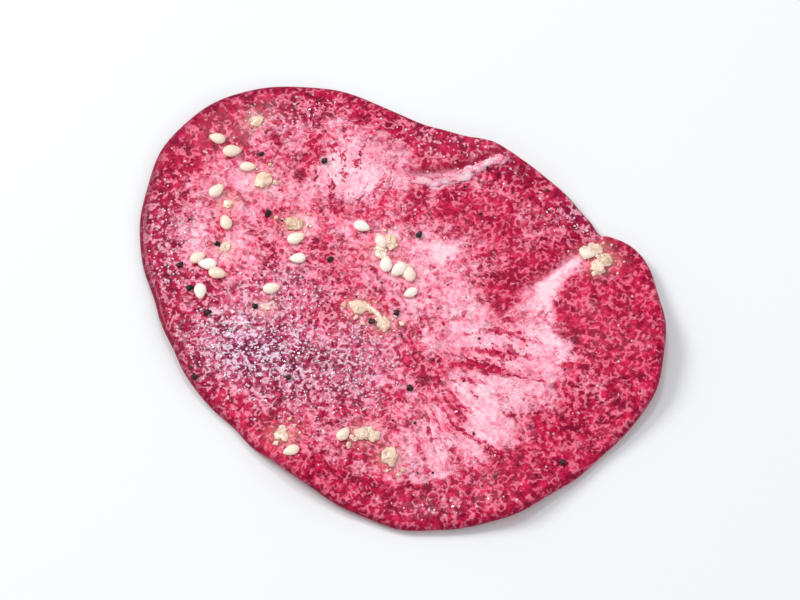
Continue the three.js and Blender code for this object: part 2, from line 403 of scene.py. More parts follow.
# %% Patches of fat and lean
# Fat patches, and lean ones with a minus: name, place, reach, turn, strength.
PATCHES = [
    ("pale top", (-9, 27.5), (8, 6.5), 0, 0.34),
    ("whitest spot", (-6, 23), (3, 4.5), 0, 0.3),
    ("upper left", (-29, 24), (6, 4), 20, 0.24),
    ("left edge of the core", (-36.5, 13.7), (3.2, 6), 0, 0.18),
    ("inner left", (-30, 10.7), (6, 4), 0, 0.18),
    ("left of the middle", (-16.5, 17.2), (3.5, 4), 0, 0.24),
    ("middle", (-3, 12.7), (7, 3), -15, 0.18),
    ("pale spot in the middle", (7.6, 10), (4, 3.4), 0, 0.5),
    ("right of the middle", (7, 1.7), (8, 4), -35, 0.24),
    ("beside the lean tip", (13, -5.6), (7, 3.4), -10, 0.32),
    ("lobe side", (25.5, -9.5), (6, 7.5), -10, 0.34),
    ("below the crease", (25.2, 0.4), (3.6, 2.8), 30, 0.6),
    ("along the crease", (30, 5.4), (5.5, 1.9), 40, 0.6),
    ("along the seam", (8, 25.2), (8, 1.7), 10, 0.45),
    ("pale knot", (9.5, -18.1), (2.6, 2.2), 0, 0.3),
    ("below the lobe side", (16.5, -20.5), (9, 7), -50, 0.36),
    ("low", (9, -31.7), (9, 6), -15, 0.32),
    ("low edge", (2.5, -36.2), (3.5, 2.5), 0, 0.2),
    ("low right", (16, -27.2), (4.5, 3), -30, 0.2),
    ("pink in the lobe", (33.5, -17.2), (4.5, 3.4), -30, 0.6),
    ("pink by the edge", (24, 13.2), (4.5, 3), -40, 0.2),
    ("lean blob at the upper left", (-31.5, 35), (4.5, 2.6), 10, -0.34),
    ("lean under that blob", (-29, 31.5), (5, 3), 10, -0.14),
    ("lean streak at the top", (-17, 28.5), (0.9, 4.2), -12, -0.6),
    ("lean above the middle", (-9, 17.1), (4, 1.7), -10, -0.36),
    ("lean left of the middle", (-13.5, 10.2), (2.6, 4), 15, -0.2),
    ("lean stripe at the left", (-21.5, 16.7), (1.4, 3.6), 0, -0.34),
    ("lean at the left", (-36, 1.7), (3.5, 3), 0, -0.16),
    ("lean left rim", (-43, 6), (4.5, 14), 8, -0.16),
    ("lean patch by the seam", (14.5, 16.2), (13, 5.5), -18, -0.34),
    ("lean patch by the crease", (22.5, 6.7), (8, 5), 37, -0.34),
    ("lean tip of that patch", (18.4, 1.6), (2.8, 3.2), -10, -0.5),
    ("lean of the middle", (3.8, -14.3), (3.8, 3.4), -20, -0.28),
    ("bold streak", (15.5, -14.6), (5.2, 0.8), -11, -0.6),
    ("thin streak above it", (16, -11), (4, 0.6), -5, -0.45),
    ("thin streak below it", (12, -16.8), (2.6, 0.5), -14, -0.4),
    ("red lens", (10.2, -22.6), (3.6, 1.1), -52, -0.55),
    ("lean at the lower right", (27, -25.1), (3, 2.4), 0, -0.26),
    ("lean low in the middle", (-7, -31.7), (4.5, 3.4), 0, -0.16),
    ("lean at the low edge", (16.5, -37.7), (5, 3), 20, -0.2),
    ("salted middle left", (-23, -11.3), (15, 9), -10, -0.2),
    ("lean lower left", (-21, -26.7), (8, 5), -30, -0.2),
]
CORE_FAT = 0.47
RIM_FAT = 0.14
# Where the lean rim begins: direction, and the share of the way out. Noise makes its border ragged.
RIM_STARTS_AT = [
    (0, 0.6), (5, 0.66), (9, 0.75), (13, 0.83), (25, 0.88), (50, 0.82), (62, 0.77), (80, 0.76),
    (92, 0.85), (120, 0.83), (145, 0.86), (165, 0.86), (185, 0.9), (205, 0.92), (230, 0.9), (250, 0.87),
    (270, 0.82), (283, 0.79), (301, 0.75), (316, 0.72), (332, 0.68), (339, 0.69), (346, 0.61), (360, 0.6),
]
RIM_WANDER = 0.045
# Half the width of that border. Towards the lower right it is softer: by how much, the direction,
# and the spread.
RIM_SOFTNESS = 0.025
SOFTER_RIM = (0.05, 318, 18)
# How much of a patch, and of a streak, is lost in the rim.
LOST_IN_RIM = 0.6
STREAKS_LOST_IN_RIM = 0.8
# How far noise bends the outlines of large ovals. Ovals narrower than FULL_DRIFT are bent less.
DRIFT = 2.2
FULL_DRIFT = 6

x, y = points[:, 0], points[:, 1]
drift_x = DRIFT * wandering(x, y, 6, 11)
drift_y = DRIFT * wandering(x, y, 6, 17)


def ragged(at, reach, turn):
    """A soft oval patch with an outline bent by noise."""
    give = min(1, min(reach) / FULL_DRIFT)
    return oval(x + give * drift_x, y + give * drift_y, at, reach, turn)


def strongest(patches):
    """The strongest of some ragged patches at each point."""
    return np.max([by * ragged(at, reach, turn) for _, at, reach, turn, by in patches], axis=0)


print(len(PATCHES), "patches of fat and lean")

# %% How fat the slice is at each point
direction = np.degrees(np.arctan2(y, x))
share = share_out(x, y)
rim_starts = np.interp(direction % 360, *zip(*RIM_STARTS_AT)) + RIM_WANDER * wandering(x, y, 3.4, 23)
softer_by, softer_at, softer_spread = SOFTER_RIM
softness = RIM_SOFTNESS + softer_by * bell(turn_between(direction, softer_at), softer_spread)
rim = ramp(share, rim_starts - softness, rim_starts + softness)
fat = CORE_FAT * (1 - rim) + RIM_FAT * rim
keep = 1 - LOST_IN_RIM * rim
fat = fat + keep * sum(by * ragged(at, reach, turn) for _, at, reach, turn, by in PATCHES)
print("fat runs from", fat.min().round(2), "to", fat.max().round(2), "and its mean is", fat.mean().round(2))

# %% Fibres and moisture
# The fibres fan out from a centre, which differs with the height on the face: for points at these
# heights, it lies at this x and this y.
FAN_HEIGHTS = (-14, -4, 12)
FAN_FROM_X = (0.5, -4.5, -12)
FAN_FROM_Y = (-10, -5, -2)
FAN_WANDER = 1.3
# Across the fibres, lengths are true at this distance from their centre.
TRUE_AT = 20
FIBRE_STRETCH = 6
# Streaks begin this far from that centre and are full at the second distance. They also fade
# between these two directions, in radians, where the fan closes at the left.
STREAKS_BEGIN = (7, 13)
FAN_CLOSES = (math.pi, 2.8)
# Where the fibres lie along the cut and show as streaks: name, place, reach, turn, strength.
STREAKED = [
    ("top", (-8, 27), (10, 9), 0, 1.0),
    ("right", (17, -11.3), (15, 8), -10, 1.0),
    ("lower right", (14, -26.7), (11, 10), -40, 0.9),
    ("lean patch", (20, 9.7), (12, 9), 30, 0.7),
    ("upper left", (-26, 24), (8, 7), 0, 0.5),
]
# Where juice and salt stand on the face. There lean and fat also take a painted purple sheen, and pale
# threads painted lilac glints.
WET_PATCHES = [
    ("left of the middle", (-25.5, -10.8), (14, 9), -10, 1.0),
    ("middle", (-9, -13.3), (7, 9), 0, 0.6),
    ("left rim", (-43, 9.7), (6, 15), 12, 0.4),
    ("top right rim", (13, 31.5), (14, 4), -22, 0.3),
    ("right rim", (32, 18.6), (6.5, 4), -50, 0.42),
    ("top left rim", (-22, 38), (14, 4), 20, 0.25),
    ("middle left", (-22, -0.3), (9, 5), 0, 0.5),
    ("bottom rim", (4, -40), (13, 4), 0, 0.12),
    ("lower left rim", (-33, -24.1), (9, 5), -50, 0.25),
]

reach_x = x - np.interp(y, FAN_HEIGHTS, FAN_FROM_X) + FAN_WANDER * wandering(x, y, 8, 31)
reach_y = y - np.interp(y, FAN_HEIGHTS, FAN_FROM_Y) + FAN_WANDER * wandering(x, y, 8, 37)
fan = np.arctan2(reach_y, reach_x)
fibres = np.stack([np.hypot(reach_x, reach_y) / FIBRE_STRETCH, fan * TRUE_AT, 0 * fan], axis=1) * MM
streaked = strongest(STREAKED) * ramp(np.hypot(reach_x, reach_y), *STREAKS_BEGIN)
streaked = streaked * (1 - STREAKS_LOST_IN_RIM * rim) * ramp(np.abs(fan), *FAN_CLOSES)
wet = strongest(WET_PATCHES)
print("at most, a point is", streaked.max().round(2), "streaked and", wet.max().round(2), "wet")

# %% Painted shade in the hollows, and a painted shadow line along the edge
# Painted shade darkens the hollows along the foot of the crease, behind the seam of fat, and at the seam's
# outer end.
CREASE_FOOT = {"strength": 0.45, "left": 0.5, "width": 0.7, "deepens": (-0.15, 0.25)}
BEHIND_SEAM = {"strength": 0.7, "left": 2.0, "width": 1.0}
SEAM_END = [("outer end of the seam", (22.6, 25.9), (2.6, 1.7), -35, 0.55)]
# The painted shadow line along the edge: where it starts and how strong it is. Each second number is added
# along a stretch at the left, given by its direction and spread, where the painted shadow is wider and
# darker.
LINE_STARTS = (0.975, -0.03)
LINE_STRENGTH = (0.35, 0.4)
SHADOWED_STRETCH = (165, 70)

along, left = against_line(CREASE, x, y)
foot = bell(left - CREASE_FOOT["left"], CREASE_FOOT["width"]) * ramp(along, *CREASE_FOOT["deepens"])
along, left = against_line(SEAM, x, y)
behind = bell(left - BEHIND_SEAM["left"], BEHIND_SEAM["width"]) * seam_strength(along)
painted_hollow_shade = np.maximum(CREASE_FOOT["strength"] * foot, BEHIND_SEAM["strength"] * behind)
painted_hollow_shade = np.maximum(painted_hollow_shade, strongest(SEAM_END))
# The painted shadow is widest and darkest round the left.
shadowed_stretch = bell(turn_between(direction, SHADOWED_STRETCH[0]), SHADOWED_STRETCH[1])
edge = ramp(share, LINE_STARTS[0] + LINE_STARTS[1] * shadowed_stretch, 1.0)
edge = edge * (LINE_STRENGTH[0] + LINE_STRENGTH[1] * shadowed_stretch)
print("the line along the edge is at most", edge.max().round(2), "strong")

# %% Paint the zones on the slab
# The share of its wetness that a point would keep on the underside.
WET_BELOW = 0.3

is_top = np.zeros(len(points))
is_top[: len(blocks[0])] = 1
# What was put on the face, and the painted shade in its dents, fade down the wall and are missing from the
# underside.
down_the_wall = np.repeat(np.linspace(1, 0, WALL_RINGS), around)
upper = np.concatenate([np.ones(len(blocks[0])), down_the_wall, np.zeros(len(blocks[-1]))])
wet = wet * (WET_BELOW + (1 - WET_BELOW) * upper)
painted_hollow_shade = painted_hollow_shade * upper
zones = {"fat": fat, "streaked": streaked, "wet": wet, "painted_hollow_shade": painted_hollow_shade, "edge": edge, "top": is_top}
for name, values in zones.items():
    paint(slab, name, values)
paint(slab, "fibres", fibres, "FLOAT_VECTOR")
print("painted on the slab:", ", ".join(zones), "and fibres")

# %% [markdown]
# ## Small tools for node trees
#
# Geometry trees and materials are both built here by script. Written out in full, every node
# takes several lines, so short helpers add a node, set or wire its inputs, and hand back an
# output. An output knows the tree that it belongs to, so most helpers needn't be told which tree
# they work in. A tree then reads like a recipe.

# %% Helpers that add a node


def feed(socket, value):
    """Wires an output into a socket, or sets the socket to a plain value."""
    if isinstance(value, bpy.types.NodeSocket):
        socket.id_data.links.new(value, socket)
    else:
        socket.default_value = value


def step(tree, kind, inputs=None, out=0, **settings):
    """Adds one node and gives back one of its outputs."""
    node = tree.nodes.new(kind)
    for key, setting in settings.items():
        setattr(node, key, setting)
    for key, value in (inputs or {}).items():
        feed(node.inputs[key], value)
    return node.outputs[out]


def listed(kind, values, **settings):
    """Adds one node with its inputs in order, to the tree that one of them comes from."""
    tree = next(value.id_data for value in values if isinstance(value, bpy.types.NodeSocket))
    return step(tree, kind, dict(enumerate(values)), **settings)


def maths(operation, *values):
    """One step of arithmetic."""
    return listed("ShaderNodeMath", values, operation=operation)


def times(first, second):
    """One value times another."""
    return maths("MULTIPLY", first, second)


def minus(first, second):
    """One value less another."""
    return maths("SUBTRACT", first, second)


def times_plus(first, second, third):
    """One value times another, and a third added."""
    return maths("MULTIPLY_ADD", first, second, third)


def vectors(operation, *values):
    """One step of arithmetic on vectors."""
    return listed("ShaderNodeVectorMath", values, operation=operation)


def scaled(vector, factor):
    """A vector made longer or shorter."""
    inputs = {"Vector": vector, "Scale": factor}
    return step(vector.id_data, "ShaderNodeVectorMath", inputs, operation="SCALE")


def between(share, first, second):
    """A value between two others."""
    return step(share.id_data, "ShaderNodeMix", {0: share, 2: first, 3: second})


def remapped(value, from_low, from_high, to_low=0.0, to_high=1.0, smooth=True):
    """A value carried from one range to another, and held at its ends."""
    inputs = {"Value": value, "From Min": from_low, "From Max": from_high}
    inputs.update({"To Min": to_low, "To Max": to_high})
    curve = "SMOOTHSTEP" if smooth else "LINEAR"
    return step(value.id_data, "ShaderNodeMapRange", inputs, interpolation_type=curve)


def clamped(value):
    """A value held between 0 and 1."""
    return step(value.id_data, "ShaderNodeClamp", {"Value": value})


def noise(tree, out=0, **inputs):
    """Noise as one value, or as three where the output asked for is the colour."""
    return step(tree, "ShaderNodeTexNoise", inputs, out)


def pushes(tree, reach, **inputs):
    """Noise as a push in any direction, of up to half the reach."""
    return scaled(vectors("SUBTRACT", noise(tree, "Color", **inputs), (0.5, 0.5, 0.5)), reach)


# %% Helpers for whole trees
SOCKETS = {name: "NodeSocket" + name for name in ("Geometry", "Material", "Vector")}


def new_tree(name, kind, inputs, outputs):
    """An empty tree or group. Each input is a plain number, or None for one of the kinds above."""
    tree = bpy.data.node_groups.new(name, kind)
    for label, default in inputs.items():
        number = "NodeSocketInt" if isinstance(default, int) else "NodeSocketFloat"
        socket = tree.interface.new_socket(label, in_out="INPUT", socket_type=SOCKETS.get(label, number))
        if default is not None:
            socket.default_value = default
    for label in outputs:
        result = SOCKETS.get(label, "NodeSocketFloat")
        tree.interface.new_socket(label, in_out="OUTPUT", socket_type=result)
    print("the tree", name, "takes", ", ".join(inputs))
    return tree, tree.nodes.new("NodeGroupInput").outputs, tree.nodes.new("NodeGroupOutput").inputs


def shape_tree(name, numbers):
    """A geometry tree that takes a mesh, some numbers and a material, and gives a mesh."""
    inputs = {"Geometry": None, **numbers, "Material": None}
    return new_tree(name, "GeometryNodeTree", inputs, ["Geometry"])


def grown(name, mesh, tree, values):
    """Runs a geometry tree on a mesh, and keeps the result as a plain mesh object."""
    piece = bpy.data.objects.new(name, mesh)
    bpy.context.scene.collection.objects.link(piece)
    modifier = piece.modifiers.new(name, "NODES")
    modifier.node_group = tree
    for item in tree.interface.items_tree:
        if item.name in values:
            modifier[item.identifier] = values[item.name]
    graph = bpy.context.evaluated_depsgraph_get()
    worked_out = piece.evaluated_get(graph)
    result = bpy.data.meshes.new_from_object(worked_out, preserve_all_data_layers=True, depsgraph=graph)
    piece.modifiers.clear()
    piece.data = result
    result.name = name
    result.calc_loop_triangles()
    print(name, "has", len(result.loop_triangles), "triangles")
    return piece


# %% [markdown]
# ## Effects that several materials share
#
# Nothing here is of one even colour. *Grain* gives a soft random value at a chosen size, and
# colours are picked with it. *Threads* are thin lines that wander, where a noise passes its
# middle. *Wet film* stands for the thin, uneven layer of juice: it gives a height for the bumps
# and a roughness that changes from place to place. *Marbling* is how fat lies in muscle: first
# as thin broken threads between the bundles, then filling ever more, until only islands of lean
# are left. The first three are shader groups. Marbling is needed for the relief of the face as
# well, and shader groups don't work in geometry trees, so its recipe is a plain function that
# adds the nodes to either kind of tree.

# %% Grain and threads


def layered_noise(group, given, detail, roughness):
    """Noise of the size that a group is given. Each layer has another pattern."""
    inputs = {"Vector": given["Vector"], "W": given["Layer"], "Detail": detail, "Roughness": roughness}
    inputs["Scale"] = maths("DIVIDE", 1.0, given["Size"])
    return step(group, "ShaderNodeTexNoise", inputs, noise_dimensions="4D")


inputs = {"Vector": None, "Size": 0.0006, "Contrast": 1.6, "Layer": 0.0}
grain_group, given, result = new_tree("grain", "ShaderNodeTree", inputs, ["Value"])
centred = minus(layered_noise(grain_group, given, 2.0, 0.6), 0.5)
feed(result["Value"], clamped(times_plus(centred, given["Contrast"], 0.5)))

inputs = {"Vector": None, "Size": 0.001, "Width": 0.1, "Layer": 0.0}
thread_group, given, result = new_tree("threads", "ShaderNodeTree", inputs, ["Value"])
aside = maths("ABSOLUTE", minus(layered_noise(thread_group, given, 1.0, 0.5), 0.5))
feed(result["Value"], clamped(minus(1.0, maths("DIVIDE", aside, given["Width"]))))

# %% Wet film
# How far the film falls away from the middle of a bead, and how much coarser its pools are.
BEAD_FALL = -0.6
POOL_SCALE = 0.22

inputs = {"Vector": None, "Size": 0.0005, "Wettest": 0.2, "Driest": 0.5}
film_group, given, result = new_tree("wet film", "ShaderNodeTree", inputs, ["Height", "Roughness", "Film"])
vector = given["Vector"]
per_metre = maths("DIVIDE", 1.0, given["Size"])
inputs = {"Vector": vector, "Scale": per_metre, "Smoothness": 0.5, "Randomness": 1.0}
beads = step(film_group, "ShaderNodeTexVoronoi", inputs, feature="SMOOTH_F1")
ripples = noise(film_group, Vector=vector, Scale=per_metre, Detail=2.0, Roughness=0.6)
feed(result["Height"], times_plus(beads, BEAD_FALL, ripples))
pools = noise(film_group, Vector=vector, Scale=times(per_metre, POOL_SCALE), Detail=2.0)
dryness = remapped(pools, 0.38, 0.62)
roughness = remapped(dryness, 0.0, 1.0, given["Wettest"], given["Driest"], smooth=False)
feed(result["Roughness"], roughness)
feed(result["Film"], minus(1.0, dryness))

# %% The groups as they are used in materials


def from_group(group, vector, size, **inputs):
    """Places a group in a material, for a size in millimetres, and gives its outputs."""
    node = vector.id_data.nodes.new("ShaderNodeGroup")
    node.node_tree = group
    for key, value in {"Vector": vector, "Size": size * MM, **inputs}.items():
        feed(node.inputs[key], value)
    return node.outputs


def grain(vector, size, contrast, layer):
    """A grain value in a material."""
    return from_group(grain_group, vector, size, Contrast=contrast, Layer=layer)["Value"]


def threads(vector, size, width, layer):
    """Thin lines that wander, in a material."""
    return from_group(thread_group, vector, size, Width=width, Layer=layer)["Value"]


def wet_film(vector, size, wettest, driest):
    """The wet film in a material: its outputs by name."""
    return from_group(film_group, vector, size, Wettest=wettest, Driest=driest)


# %% Marbling
# Sizes of the bundles: coarse and fine ones that are cut across, and long ones that lie along.
COARSE, FINE, LONG = 2.3, 1.15, 1.5
# How much leaner a bundle's inside is than its border, how much patches differ from each other,
# and how much fat there has to be before threads show.
THREAD_WEIGHT = 1.5
PATCH_WEIGHT = 1.7
LEAST_FAT = 0.28
# How far noise bends the threads, as a share of the bundles' size.
THREAD_BEND = 0.9


def marbled(vector, size, fat, softness=0.12):
    """Adds marbling to a tree: 0 where the meat is lean and 1 where it is fat."""
    tree = vector.id_data
    per_metre = 1 / (size * MM)
    reach = THREAD_BEND * 2 * size * MM
    bend = pushes(tree, reach, Vector=vector, Scale=0.8 * per_metre, Detail=1.0)
    bent = vectors("ADD", vector, bend)
    inputs = {"Vector": bent, "Scale": per_metre, "Randomness": 1.0}
    inside = step(tree, "ShaderNodeTexVoronoi", inputs, feature="DISTANCE_TO_EDGE")
    patchy = noise(tree, Vector=bent, Scale=1.4 * per_metre, Detail=2.5, Roughness=0.6)
    patchy = times_plus(minus(patchy, 0.5), PATCH_WEIGHT, LEAST_FAT)
    leanness = times_plus(inside, THREAD_WEIGHT, patchy)
    return remapped(minus(fat, leanness), -softness, softness)


# %% Helpers for materials


def srgb(red, green, blue):
    """A colour as a paint program gives it, 0 to 255, made linear for Blender."""
    parts = [part / 255 for part in (red, green, blue)]
    return (*(p / 12.92 if p <= 0.04045 else ((p + 0.055) / 1.055) ** 2.4 for p in parts), 1)


def blended(share, first, second):
    """Two colours mixed."""
    return step(share.id_data, "ShaderNodeMix", {0: share, 6: first, 7: second}, 2, data_type="RGBA")


def coloured(value, stops):
    """A colour looked up from a value, between stops of a place and a paint program's colour."""
    node = value.id_data.nodes.new("ShaderNodeValToRGB")
    band = node.color_ramp
    while len(band.elements) < len(stops):
        band.elements.new(0.5)
    for element, (place, colour) in zip(band.elements, stops):
        element.position = place
        element.color = srgb(*colour)
    feed(node.inputs[0], value)
    return node.outputs[0]


def painted(tree, name, out="Fac"):
    """A value painted on the mesh."""
    return step(tree, "ShaderNodeAttribute", out=out, attribute_name=name)


def bumpy(shader, height, strength, depth):
    """Gives a shader bumps, with their depth in millimetres."""
    inputs = {"Strength": strength, "Distance": depth * MM, "Height": height}
    feed(shader.inputs["Normal"], step(height.id_data, "ShaderNodeBump", inputs))


def material_of(name, **surface):
    """A new material: its tree, its object coordinates, and its shader with some inputs set."""
    material = bpy.data.materials.new(name)
    material.use_nodes = True
    tree = material.node_tree
    shader = tree.nodes["Principled BSDF"]
    for key, value in surface.items():
        shader.inputs[key.replace("_", " ")].default_value = value
    print("a material for", name)
    return material, tree, step(tree, "ShaderNodeTexCoord", out="Object"), shader


# %% [markdown]
# ## Raw tongue
#
# Lean muscle is crimson and fat is pale pink. How much of each there is comes from the painted
# zones, and the marbling says which of the two is at a point: in coarse and fine bundles where the
# fibres are cut across, and in long ones where they lie along the face. Lean and fat each run
# through a few shades. Where salt has drawn juice out, both turn purple, partly the wet meat's own
# colour and partly a painted sheen, and pale threads there are painted lilac glints. Painted shade
# darkens the hollows and a line along the edge. A little light passes through meat, so its shader
# scatters light under the surface, red the furthest.

# %% The flesh material: what is lean, and what is fat
flesh, tree, where, shader = material_of(
    "raw tongue",
    IOR=1.4,
    Specular_IOR_Level=0.12,
    Subsurface_Weight=0.08,
    Subsurface_Scale=0.0006,
    Subsurface_Radius=(1.0, 0.32, 0.28),
    Coat_Roughness=0.1,
    Coat_IOR=1.33,
)
wetness = painted(tree, "wet")
lying_down = times(painted(tree, "streaked"), 0.9)
drift = minus(grain(where, 4.0, 2.4, 0.0), 0.5)
fat_here = times_plus(drift, 0.42, painted(tree, "fat"))
waver = pushes(tree, 1.4 * MM, Vector=where, Scale=900.0, Detail=2.0)
fibres_here = vectors("ADD", painted(tree, "fibres", "Vector"), waver)
streaks = remapped(grain(fibres_here, 1.5, 3.0, 1.7), 0.6, 0.85)
streaks = times(streaks, painted(tree, "streaked"))
fat_here = times_plus(streaks, -0.58, fat_here)
fine_share = times(marbled(where, FINE, fat_here), 0.42)
across = times_plus(marbled(where, COARSE, fat_here), 0.58, fine_share)
along = marbled(fibres_here, LONG, fat_here, softness=0.15)
marbling = between(lying_down, across, along)

# %% The flesh material: colours
LEAN = [(0.0, (126, 2, 42)), (0.5, (178, 10, 58)), (1.0, (222, 38, 86))]
FAT = [(0.0, (222, 54, 96)), (0.35, (253, 128, 156)), (0.7, (251, 172, 194)), (1.0, (255, 210, 220))]
# Where it is wet, lean and fat turn purple: partly the wet meat's own colour, partly a painted sheen.
WET_LEAN_AND_SHEEN = srgb(100, 4, 60)
WET_FAT_AND_SHEEN = srgb(188, 76, 138)


def streaky_grain(size, contrast, layer):
    """Grain that follows the fibres where they lie along the cut."""
    crossed = grain(where, size, contrast, layer)
    return between(lying_down, crossed, grain(fibres_here, size, contrast, layer))


lean = coloured(streaky_grain(1.3, 3.2, 3.3), LEAN)
lean = blended(times(wetness, 0.75), lean, WET_LEAN_AND_SHEEN)
fat_shade = minus(streaky_grain(0.9, 2.8, 6.1), 0.5)
fat_shade = times_plus(fat_shade, 0.85, fat_here)
fat_colour = coloured(minus(fat_shade, 0.06), FAT)
fat_colour = blended(times(wetness, 0.6), fat_colour, WET_FAT_AND_SHEEN)
colour = blended(marbling, lean, fat_colour)

# %% The flesh material: fine threads
# Dark threads fade where the meat is fat. Pale threads are broken threads of fat; where it is wet they turn
# into painted lilac glints.
SHADE = srgb(108, 0, 42)
LILAC_GLINT = srgb(255, 232, 250)

patches = remapped(grain(where, 3.0, 2.4, 15.2), 0.35, 0.75)
dark_threads = times(threads(where, 1.4, 0.1, 9.2), patches)
dark_threads = times(dark_threads, remapped(fat_here, 0.4, 0.8, 0.75, 0.15))
colour = blended(dark_threads, colour, SHADE)
broken = remapped(grain(where, 1.3, 3.0, 18.4), 0.4, 0.62)
pale_threads_and_glints = times(threads(where, 1.3, 0.11, 12.9), broken)
thread_fat = maths("MAXIMUM", maths("ADD", fat_here, 0.12), 0.3)
# Where it is wet, the pale threads are painted glints.
thread_and_glint_colour = blended(wetness, coloured(thread_fat, FAT), LILAC_GLINT)
colour = blended(times(pale_threads_and_glints, 0.9), colour, thread_and_glint_colour)

# %% The flesh material: painted zones and moisture
# The garlic's clouding is the meat's own colour; the hollows and the line along the edge get painted shade.
ZONE_COLOURS = {"seasoned": srgb(248, 186, 172), "painted_hollow_shade": srgb(138, 4, 44), "edge": srgb(112, 6, 44)}

for zone, zone_colour in ZONE_COLOURS.items():
    colour = blended(painted(tree, zone), colour, zone_colour)
feed(shader.inputs["Base Color"], colour)
film = wet_film(where, 0.55, 0.16, 0.45)
feed(shader.inputs["Roughness"], film["Roughness"])
feed(shader.inputs["Coat Weight"], times_plus(wetness, 0.6, 0.03))
bumpy(shader, times_plus(pale_threads_and_glints, 0.4, times(film["Height"], 0.7)), 0.6, 0.2)

# %% [markdown]
# ## The grain of the cut face
#
# Cut muscle isn't smooth: bundles of fibres stand up a little between softer threads of fat. A
# geometry tree pushes each point of the top face inwards where it is fat, by the same coarse and
# long marbling that the material uses, so each bundle has its own bump. It is real relief in the
# mesh, and the shader only adds what is finer than the cells.

# %% Relief of the top face
# How far pure fat sinks in, and how soft the borders of the bundles are.
RELIEF = 0.16
RELIEF_SOFTNESS = 0.3


def named(tree, name, kind="FLOAT"):
    """A value painted on the mesh, in a geometry tree."""
    return step(tree, "GeometryNodeInputNamedAttribute", {"Name": name}, data_type=kind)


def finished(result, shapes, material, smooth=True):
    """Ends a geometry tree: faces of one material, smooth or flat."""
    tree = shapes.id_data
    if smooth:
        shapes = step(tree, "GeometryNodeSetShadeSmooth", {"Geometry": shapes})
    shapes = step(tree, "GeometryNodeSetMaterial", {"Geometry": shapes, "Material": material})
    feed(result["Geometry"], shapes)


relief, given, result = shape_tree("cut grain", {"Depth": 0.0001})
fat_here = named(relief, "fat")
across = marbled(step(relief, "GeometryNodeInputPosition"), COARSE, fat_here, RELIEF_SOFTNESS)
along = marbled(named(relief, "fibres", "FLOAT_VECTOR"), LONG, fat_here, RELIEF_SOFTNESS)
fatness = between(times(named(relief, "streaked"), 0.8), across, along)
depth = times(times(fatness, times(given["Depth"], -1.0)), named(relief, "top"))
offset = scaled(step(relief, "GeometryNodeInputNormal"), depth)
shaped = step(relief, "GeometryNodeSetPosition", {"Geometry": given["Geometry"], "Offset": offset})
finished(result, shaped, given["Material"])

slice_piece = grown("tongue_slice_meat", slab, relief, {"Depth": RELIEF * MM, "Material": flesh})

# %% [markdown]
# ## Where the toppings lie
#
# The seasoning fell in clusters. Each cluster is an oval that an even spiral fills, turning by
# the golden angle, so its pieces neither overlap nor line up. A fixed sequence of random numbers
# turns and sizes them. The solid uses the same rule, so each topping lies where it lies there.
# The sequence then goes on to the crumbs of garlic, which the solid leaves out, in a small spiral
# round each flake, and a few more chips fill up the clusters.

# %% The rule for the toppings
GOLDEN_ANGLE = 137.508
# The sequence of random numbers: its start, the factor from each to the next, and the limit.
RANDOM_START = 2029
RANDOM_FACTOR = 16807
RANDOM_LIMIT = 2147483647
SIZE_SPREAD = 0.16
# Sizes of the toppings, and how deep they are sunk into the face.
SEED = {"length": 3.2, "width": 2.3, "height": 1.15, "sunk": 0.24, "taper": 0.32}
FLAKE = {"length": 3.2, "width": 2.5, "height": 0.7, "sunk": 0.2}
GRAIN = {"length": 1.15, "width": 0.95, "height": 0.8, "sunk": 0.22}
# Place, reach along and across, turn, and how many seeds, flakes and grains.
GROUPS = [
    ((-31, 26.6), (12, 4.7), 84, (5, 0, 0)),
    ((-25.2, 24.2), (0.9, 9.5), -4, (0, 1, 1)),
    ((-34.5, 4.1), (9.3, 3.2), 89, (4, 0, 3)),
    ((-20.1, 7.4), (13.9, 2), 72, (3, 1, 0)),
    ((-1.7, 7.7), (10.5, 2), -55, (6, 1, 0)),
    ((-4.8, -4.1), (5.9, 0.9), -35, (0, 2, 1)),
    ((-6.1, -28.9), (9.7, 1.7), 157, (1, 2, 0)),
    ((-19.2, -31), (0.9, 6.4), 10, (1, 1, 0)),
    ((35.4, 8), (3.2, 1.6), 172, (1, 2, 0)),
    ((-15, 2), (28, 31), 65, (0, 0, 10)),
    ((28.4, -32.6), (0.1, 0.1), 0, (0, 0, 1)),
]
drawn = RANDOM_START


def draw():
    """The next number between 0 and 1 of the fixed sequence."""
    global drawn
    drawn = (drawn * RANDOM_FACTOR) % RANDOM_LIMIT
    return drawn / RANDOM_LIMIT


def spiral(at, reach, turn, k, count):
    """The place of one of a number of pieces that fill an oval."""
    c, s = math.cos(math.radians(turn)), math.sin(math.radians(turn))
    out = math.sqrt((k + 0.5) / count)
    along = reach[0] * out * math.cos(math.radians(k * GOLDEN_ANGLE))
    across = reach[1] * out * math.sin(math.radians(k * GOLDEN_ANGLE))
    return at[0] + along * c - across * s, at[1] + along * s + across * c


places = {"seed": [], "flake": [], "grain": []}
for at, reach, turn, counts in GROUPS:
    kinds = [kind for kind, count in zip(places, counts) for _ in range(count)]
    for k, kind in enumerate(kinds):
        spot = spiral(at, reach, turn, k, len(kinds))
        places[kind].append((*spot, draw() * 360, 1 + SIZE_SPREAD * (2 * draw() - 1)))
print("as on the solid:", {kind: len(spots) for kind, spots in places.items()})

# %% The garlic's crumbs
CRUMBS_ROUND = 9
CRUMB_REACH = 3.6
CRUMB_SIZES = (0.3, 1.0)
